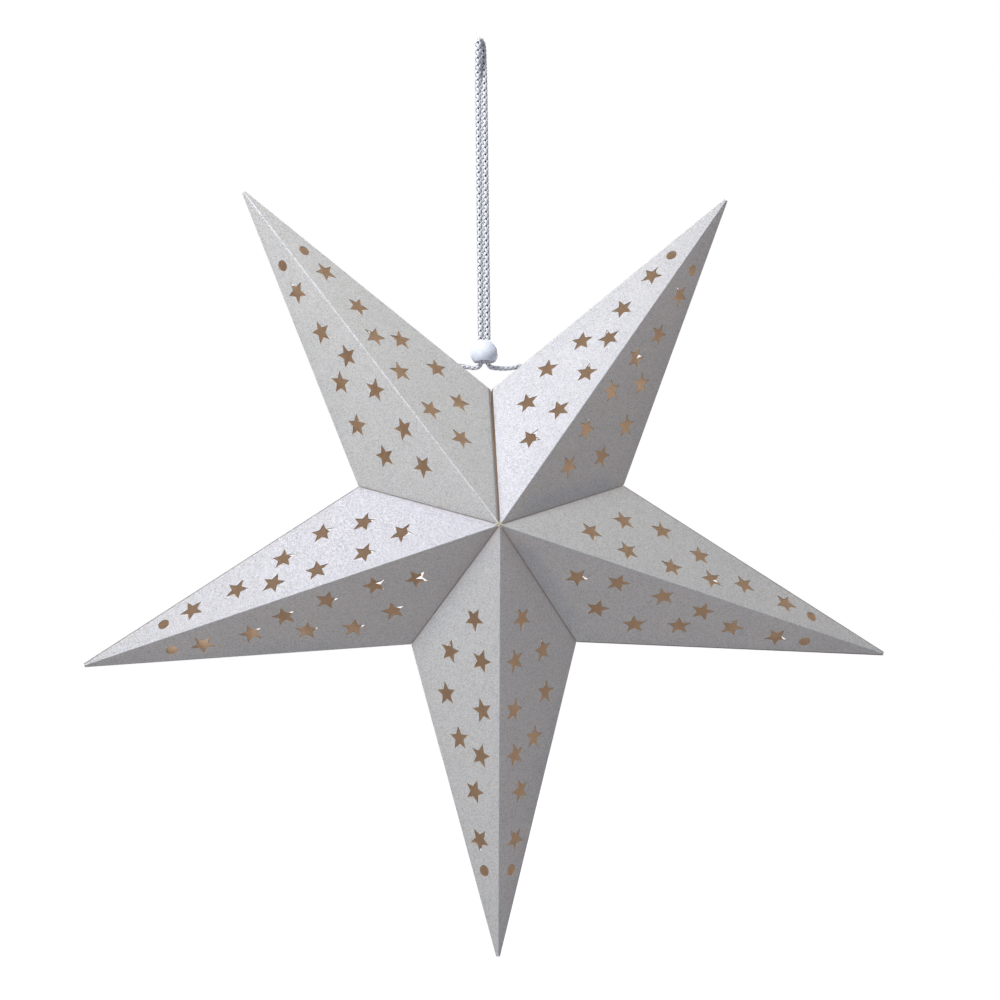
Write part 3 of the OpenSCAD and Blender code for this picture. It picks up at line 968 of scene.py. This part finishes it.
# %% [markdown]
# ## Punching the stars
#
# The maker punches the stars with a steel rule die before folding. The same is done
# here: a die is an upright star-shaped block, a little wider at the top, where the punch
# presses the card's edge down. A node tree stands one die on every marked place, squeezes
# them all a little across the fold, because the photograph shows the stars slim that way,
# and cuts them out of the blank in one boolean, so the slanted rim of each hole is real.

# %% Dies
STAR_RADIUS = 4.3 * MM
STAR_INNER_RADIUS = 1.9 * MM
TIP_HOLE_RADIUS = 2.0 * MM
LACE_HOLE_RADIUS = 1.3 * MM
HOLE_SIDES = 24
PRESSED = 0.15 * MM
PRESS_DEPTH = 0.26 * MM
DIE_FOOT = -1.0 * MM
DIE_HEAD = 1.5 * MM
SQUEEZE = 0.82
squeeze_line = Vector((math.cos(math.radians(76)), math.sin(math.radians(76))))


def ring_points(radii):
    """Points at equal angles, at each radius in turn."""
    return [Vector((r * math.cos(math.tau * k / len(radii)), r * math.sin(math.tau * k / len(radii))))
            for k, r in enumerate(radii)]


def widened(outline, by):
    """The outline with every side moved outwards."""
    wide = []
    for i, here in enumerate(outline):
        before = (here - outline[i - 1]).normalized()
        after = (outline[(i + 1) % len(outline)] - here).normalized()
        first = Vector((before.y, -before.x)) * by
        second = Vector((after.y, -after.x)) * by
        wide.append(cross_at(here + first, before, here + second, after))
    return wide


def die(name, outline):
    """A closed upright block with that outline, wider near the top of the card."""
    wide = widened(outline, PRESSED)
    heights = ((DIE_FOOT, outline), (CARD - PRESS_DEPTH, outline), (CARD, wide), (DIE_HEAD, wide))
    count = len(outline)
    vertices = [(p.x, p.y, z) for z, ring in heights for p in ring]
    ends = [tuple(reversed(range(count))), tuple(range(3 * count, 4 * count))]
    mesh = bpy.data.meshes.new(name)
    mesh.from_pydata(vertices, [], ring_faces([(0, 1), (1, 2), (2, 3)], count) + ends)
    mesh.materials.append(cut_edge)
    return bpy.data.objects.new(name, mesh)


def stretched(point):
    """Where a flat point lies before the squeeze, so that the squeeze brings it back."""
    return point + squeeze_line * point.dot(squeeze_line) * (1 / SQUEEZE - 1)


star_die = die("star_die", ring_points([STAR_RADIUS, STAR_INNER_RADIUS] * 5))
tip_die = die("tip_hole_die", ring_points([TIP_HOLE_RADIUS] * HOLE_SIDES))
lace_die = die("lacing_hole_die", [stretched(p) for p in ring_points([LACE_HOLE_RADIUS] * HOLE_SIDES)])
print("dies with sides:", [len(d.data.vertices) // 4 for d in (star_die, tip_die, lace_die)])

# %% Places of the dies
STAR_PLACES = (
    (0.138, 0.552, 48), (0.138, 0.279, 67), (0.225, 0.592, 30),
    (0.256, 0.196, 53), (0.368, 0.444, 31), (0.373, 0.182, 22),
    (0.472, 0.200, 50), (0.537, 0.268, 54), (0.665, 0.208, 1),
)
TIP_HOLE_PLACE = (0.750, 0.156)
BACK_SHIFT = 5.5 * MM
LACED_STAR = 2


def die_places(name, shift, laced):
    """Marks where each die stands: which die it is, and its turn."""
    stars = [p for i, p in enumerate(STAR_PLACES) if not laced or i != LACED_STAR]
    shares = [p[:2] for p in stars] + [TIP_HOLE_PLACE]
    points = [s[0] * flat_tip + s[1] * flat_notch - Vector((shift, 0)) for s in shares]
    turns = [math.radians(p[2]) for p in stars] + [0.0]
    kinds = [0] * len(stars) + [1]
    if laced:
        along = (flat_tip - flat_notch).normalized()
        inward = Vector((along.y, -along.x))
        points.append(flat_notch + along * (LACE_ALONG_MM * MM) + inward * (LACE_DEPTH_MM * MM))
        turns.append(0.0)
        kinds.append(2)
    mesh = bpy.data.meshes.new(name)
    mesh.from_pydata([(*stretched(p), 0) for p in points], [], [])
    mesh.attributes.new("turn", "FLOAT", "POINT").data.foreach_set("value", turns)
    mesh.attributes.new("kind", "INT", "POINT").data.foreach_set("value", kinds)
    return bpy.data.objects.new(name, mesh)


front_places = die_places("front_die_places", 0.0, False)
back_places = die_places("back_die_places", BACK_SHIFT, False)
laced_places = die_places("laced_die_places", BACK_SHIFT, True)
print("dies:", [len(p.data.vertices) for p in (front_places, back_places, laced_places)])


# %% Punching tree
def make_punch_tree():
    """Cuts a die out of a blank at every marked place."""
    tree = bpy.data.node_groups.new("punched_card", "GeometryNodeTree")
    given = add_inputs(tree, {
        "Geometry": "Geometry",
        "Places": "Object",
        "Star Die": "Object",
        "Tip Hole Die": "Object",
        "Lacing Hole Die": "Object",
        "Cut Edge": "Material",
        "Squeeze": SQUEEZE,
        "Squeeze Line": (*squeeze_line, 0),
    })
    places = add_node(tree, "GeometryNodeObjectInfo", {"Object": given["Places"]}).outputs["Geometry"]
    upright = add_node(tree, "ShaderNodeCombineXYZ", {"Z": stored(tree, "turn")}).outputs[0]
    rotation = add_node(tree, "FunctionNodeEulerToRotation", {0: upright}).outputs[0]
    kind = stored(tree, "kind", "INT")
    all_dies = add_node(tree, "GeometryNodeJoinGeometry")
    for number, name in enumerate(("Star Die", "Tip Hole Die", "Lacing Hole Die")):
        shape = add_node(tree, "GeometryNodeObjectInfo", {"Object": given[name]}).outputs["Geometry"]
        chosen = add_node(tree, "FunctionNodeCompare", {2: kind, 3: number},
                          data_type="INT", operation="EQUAL").outputs[0]
        inputs = {"Points": places, "Selection": chosen, "Instance": shape, "Rotation": rotation}
        standing = add_node(tree, "GeometryNodeInstanceOnPoints", inputs).outputs[0]
        tree.links.new(standing, all_dies.inputs[0])
    blocks = made_real(tree, all_dies.outputs[0])
    here = add_node(tree, "GeometryNodeInputPosition").outputs[0]
    along = add_node(tree, "ShaderNodeVectorMath", {0: here, 1: given["Squeeze Line"]},
                     operation="DOT_PRODUCT").outputs["Value"]
    less = times(tree, along, calc(tree, "SUBTRACT", given["Squeeze"], 1.0))
    inputs = {"Geometry": blocks, "Offset": vector_calc(tree, "SCALE", given["Squeeze Line"], less)}
    slim = add_node(tree, "GeometryNodeSetPosition", inputs).outputs[0]
    inputs = {"Mesh 1": given["Geometry"], "Mesh 2": store(tree, slim, "is_cut", 1.0, domain="FACE")}
    cut = add_node(tree, "GeometryNodeMeshBoolean", inputs, operation="DIFFERENCE", solver="MANIFOLD")
    real = made_real(tree, cut.outputs[0])
    finished = painted(tree, real, given["Cut Edge"], marked_faces(tree, "is_cut"))
    add_node(tree, "NodeGroupOutput", {"Geometry": finished})
    return tree


punch = make_punch_tree()
print("punching tree has", len(punch.nodes), "nodes")

# %% [markdown]
# ## The twenty panels
#
# Each panel is punched, bowed outwards by up to a quarter of a millimetre in its own
# way, given its distances to the creases, and moved to its place on the star. It also
# gets its own marks and painted light and shade: a brightness for its point that stands
# in for how the lamp falls on it, how worn its ridge is, whether it has the open seam,
# and whether its valley, side edge or seam gets painted shade. The middle of the star is
# pressed in a little, smoothly, where a thumb pushes the points together.

# %% Finishing a panel
BOW = 0.22 * MM
BOW_WAVE = 45 * MM
BOW_LEAST = 0.65
BOW_CHANGE = 0.7
OWN_WAY = 3.7
SHARP_FOLD = math.radians(30)


def crease_distances(points):
    """Millimetres from the ridge, the side edge and the valley for each flat point."""
    found = []
    for start, end in ((flat_apex, flat_tip), (flat_tip, flat_notch), (flat_notch, flat_apex)):
        along = (end - start).normalized()
        found.append(((points[:, 1] - start.y) * along.x - (points[:, 0] - start.x) * along.y) / MM)
    return found


def finish_panel(mesh, seed, matrix, own_marks_and_painted_light):
    """Bows a punched panel, stores its crease distances, own marks and painted light and shade, and puts it
    in its place.
    """
    points = np.array([v.co for v in mesh.vertices])
    ridge, edge, valley = crease_distances(points)
    marks_and_painted_light = {"ridge_mm": ridge, "edge_mm": edge, "valley_mm": valley,
             "apex_mm": np.hypot(points[:, 0], points[:, 1]) / MM}
    marks_and_painted_light.update({name: np.full(len(points), value) for name, value in own_marks_and_painted_light.items()})
    for name, values in marks_and_painted_light.items():
        mesh.attributes.new(name, "FLOAT", "POINT").data.foreach_set("value", values.astype(np.float32))
    middle = np.clip(ridge, 0, None) * np.clip(edge, 0, None) * np.clip(valley, 0, None)
    middle = middle / middle.max()
    for vertex, share in zip(mesh.vertices, middle):
        place = Vector((vertex.co.x, vertex.co.y, 0)) / BOW_WAVE + Vector((0, 0, seed * OWN_WAY))
        vertex.co.z += BOW * share * (BOW_LEAST + BOW_CHANGE * noise.noise(place))
    mesh.transform(matrix)
    if matrix.determinant() < 0:
        mesh.flip_normals()
    mesh.shade_smooth()
    mesh.set_sharp_from_angle(angle=SHARP_FOLD)


facet_middle = np.array([(flat_tip + flat_notch) / 3])
to_creases = [round(float(d[0]), 1) for d in crease_distances(facet_middle)]
print("facet's middle to its creases, in mm:", to_creases)

# %% Pressing the middle
FRONT_SINK = 0.35 * MM
BACK_SINK = 0.65 * MM
SINK_REACH = 10 * MM


def press_apex(mesh, face):
    """Sinks the middle of the star a little, smoothly, on that face."""
    sink, inward = (FRONT_SINK, 1) if face == "front" else (BACK_SINK, -1)
    apex = star_centre + Vector((0, -inward * HALF_DEPTH, 0))
    for vertex in mesh.vertices:
        away = (vertex.co - apex).length / SINK_REACH
        if away < 1:
            vertex.co.y += inward * sink * (1 - away**2) ** 2


# %% Panels
SEAM_PANELS = ((1, "right"), (5, "left"))
# Valleys that get the wider painted shade near the middle.
SHADED_VALLEYS = ((2, "left"), (3, "right"), (3, "left"), (4, "right"))
# Side edges that get a thin painted dark line.
SHADED_EDGES = ((2, "right"), (4, "left"), (4, "right"))
RIDGE_WEAR = (1.0, 0.5, 0.15, 0.25, 0.5)
# Painted light: each point's card is made lighter or darker by how the lamp falls on it.
PAINTED_LIGHT_PER_POINT = (1.04, 0.90, 1.03, 0.98, 1.01)


def panel_piece(point, side, face, seed):
    """One panel of a point, punched, marked and in its place."""
    seam = (point, side) in SEAM_PANELS
    places = front_places if face == "front" else laced_places if seam else back_places
    gaps = VALLEY_CRACK
    if seam:
        gaps = FRONT_SEAM if face == "front" else BACK_SEAM
    ridge_width = 1.0 if side == "left" else NESTED_NOSE
    edge_width = 1.0 if face == "front" else NESTED_NOSE
    blank = panel_blank(f"blank_{point}_{face}_{side}", seam, gaps, ridge_width, edge_width)
    mesh = run_tree(punch, blank, {
        "Places": places, "Star Die": star_die, "Tip Hole Die": tip_die, "Lacing Hole Die": lace_die,
        "Cut Edge": cut_edge})
    own_marks_and_painted_light = {
        "painted_light": PAINTED_LIGHT_PER_POINT[point - 1],
        "wear": RIDGE_WEAR[point - 1],
        "valley_shade": float((point, side) in SHADED_VALLEYS),
        "edge_shade": float((point, side) in SHADED_EDGES),
        "seam": float(seam),
        "seam_shade": float((point, side) == SEAM_PANELS[0])}
    finish_panel(mesh, seed, facet_matrix(point, side, face), own_marks_and_painted_light)
    press_apex(mesh, face)
    node = f"point_{point}_{face}_{side}"
    return new_piece(f"card_{point}_{face}_{side}", mesh, node, [node])


panels = []
for point in range(1, 6):
    for face in ("front", "back"):
        for side in ("left", "right"):
            panels.append(panel_piece(point, side, face, len(panels)))
print(len(panels), "panels with", sum(len(p.data.polygons) for p in panels), "faces")

# %% [markdown]
# ## Glue tabs
#
# Thirteen tabs on the inside hold the panels together. They are the CAD model's own
# plates: their shape is right, so they only get the kraft paper's finish.

# %% Tab finish
tabs = [node for name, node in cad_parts.items() if "_tab_" in name]
for tab in tabs:
    for slot in tab.material_slots:
        slot.material = kraft_tab
print(len(tabs), "tabs painted")

# %% [markdown]
# ## Glue at the middle
#
# Where the ten panels meet, the maker's glue has squeezed out and dried to small
# yellowish crumbs. Each crumb is a ball that a noise pattern makes lumpy, and that is
# pressed into the hollow, so that none stands further out than the card.

# %% Glue
GLUE_HEIGHT = HALF_DEPTH - 0.13 * MM
LUMP_SIZE = 0.5 * MM
LUMPINESS = 0.35
FLATTENED = 0.95
OWN_LUMPS = 5.1
glue = mottled_material("dried_glue", 1800.0, (0.50, 0.44, 0.28), (0.93, 0.90, 0.72),
                        {"Roughness": 0.3, "Transmission Weight": 0.15}, Detail=3.0)


def glue_crumbs(name, crumbs, outward, body):
    """Lumpy balls at (across, up, out, size) in millimetres from an apex of the star."""
    apex = star_centre + Vector((0, outward * HALF_DEPTH, 0))
    work = bmesh.new()
    for number, (across, up, out, size) in enumerate(crumbs):
        made = bmesh.ops.create_icosphere(work, subdivisions=3, radius=size / 2 * MM)["verts"]
        middle = apex + Vector((across, outward * out, up)) * MM
        for vertex in made:
            lump = noise.noise(vertex.co / LUMP_SIZE + Vector((number * OWN_LUMPS, 0, 0)))
            vertex.co = middle + vertex.co * (1 + LUMPINESS * lump)
            proud = outward * vertex.co.y - GLUE_HEIGHT
            if proud > 0:
                vertex.co.y -= outward * proud * FLATTENED
    mesh = bpy.data.meshes.new(name)
    work.to_mesh(mesh)
    work.free()
    mesh.materials.append(glue)
    mesh.shade_smooth()
    return new_piece(name, mesh, body)


front_crumbs = [(-0.55, 0.5, -0.58, 1.05), (0.35, 0.35, -0.56, 0.95), (-1.25, 0.15, -0.58, 0.85),
                (-0.3, -0.45, -0.54, 0.9), (0.95, -0.1, -0.52, 0.75), (-1.0, 1.05, -0.52, 0.75),
                (0.2, 1.15, -0.55, 0.75), (0.55, -0.8, -0.5, 0.6), (-1.8, -0.1, -0.62, 0.5)]
back_crumbs = [(0.1, 0.0, -1.6, 1.5), (-0.6, 0.4, -1.2, 0.8), (0.6, -0.4, -1.2, 0.8)]
glue_crumbs("front_glue_crumbs", front_crumbs, -1, "point_1_front_right")
glue_crumbs("back_glue_crumbs", back_crumbs, 1, "point_1_back_right")
print("glue crumbs:", len(front_crumbs) + len(back_crumbs))

# %% [markdown]
# ## Floor, background and light
#
# The photograph is taken against plain white. The lamp is a soft box high on the left in
# front: the facets that face up and left are the brightest, and those that face down and
# right are about a third as bright. A low lamp on the left lifts the shaded facets, a
# weak one behind keeps the back from going dark, and a dim even surround fills the rest.
# The background is white only to the camera and in reflections, so it adds no light to
# the card. The floor glows white to the camera too, but less where the star's soft shadow
# falls, so that the shadow stays.

# %% Floor
FLOOR_HEIGHT = -0.9
FLOOR_HALF = 8
GLOW_NEAR = 0.45
GLOW_FAR = 0.84
SHADOW_REACH = (0.25, 1.0)
SHADOW_MIDDLE = (0.38, 0.48, 0.0)


def add_floor_glow(tree):
    """Adds light that only the camera sees, weaker near the middle of the shadow."""
    flat = vector_calc(tree, "MULTIPLY", object_coords(tree), (1.0, 1.0, 0.0))
    away = add_node(tree, "ShaderNodeVectorMath", {0: flat, 1: SHADOW_MIDDLE}, operation="DISTANCE")
    level = add_node(tree, "ShaderNodeMapRange", {
        "Value": away.outputs["Value"], "From Min": SHADOW_REACH[0], "From Max": SHADOW_REACH[1],
        "To Min": GLOW_NEAR, "To Max": GLOW_FAR})
    seen = add_node(tree, "ShaderNodeLightPath").outputs["Is Camera Ray"]
    strength = times(tree, seen, level.outputs["Result"])
    glow = add_node(tree, "ShaderNodeEmission", {"Color": (1, 1, 1, 1), "Strength": strength}).outputs[0]
    plain = tree.nodes["Principled BSDF"].outputs[0]
    both = add_node(tree, "ShaderNodeAddShader", {0: plain, 1: glow}).outputs[0]
    fill(tree, tree.nodes["Material Output"], {"Surface": both})


pale = mottled_material("pale_floor", 3.0, (0.84, 0.84, 0.84), (0.86, 0.86, 0.86), {"Roughness": 0.9})
add_floor_glow(pale.node_tree)
floor_corners = [(x * FLOOR_HALF, y * FLOOR_HALF, FLOOR_HEIGHT)
                 for x, y in ((-1, -1), (1, -1), (1, 1), (-1, 1))]
floor_mesh = bpy.data.meshes.new("floor")
floor_mesh.from_pydata(floor_corners, [], [(0, 1, 2, 3)])
floor_mesh.materials.append(pale)
floor = bpy.data.objects.new("floor", floor_mesh)
scene.collection.objects.link(floor)
print("floor at", FLOOR_HEIGHT, "m")

# %% Surround
AMBIENT = 0.275
SURROUND_TINT = (0.91, 0.965, 1.14)
WHITE = (1, 1, 1)
world = bpy.data.worlds.new("surround")
world.use_nodes = True
sky = world.node_tree
seen = add_node(sky, "ShaderNodeLightPath").outputs
direct = calc(sky, "MAXIMUM", seen["Is Camera Ray"], seen["Is Glossy Ray"])
direct = calc(sky, "MAXIMUM", direct, seen["Is Transmission Ray"])
fill(sky, sky.nodes["Background"], {
    "Color": mix_colours(sky, direct, SURROUND_TINT, WHITE),
    "Strength": calc(sky, "MULTIPLY_ADD", direct, 1.0 - AMBIENT, AMBIENT)})
scene.world = world
print("surround lights the object at", AMBIENT, "of white")


# %% Lamps
def soft_lamp(name, place, size, energy):
    """A square soft box that faces the middle of the star, placed in metres from it."""
    lamp_data = bpy.data.lights.new(name, "AREA")
    lamp_data.shape = "SQUARE"
    lamp_data.size = size
    lamp_data.energy = energy
    lamp = bpy.data.objects.new(name, lamp_data)
    lamp.location = star_centre + Vector(place)
    lamp.rotation_euler = Vector(place).to_track_quat("Z", "Y").to_euler()
    scene.collection.objects.link(lamp)
    print(name, "at", tuple(round(x, 2) for x in lamp.location))


soft_lamp("soft_box", (-0.37, -0.43, 0.61), 0.25, 6.56)
soft_lamp("low_fill", (-0.45, -0.50, -0.10), 0.40, 0.89)
soft_lamp("back_fill", (0.30, 0.62, 0.34), 0.40, 1.5)
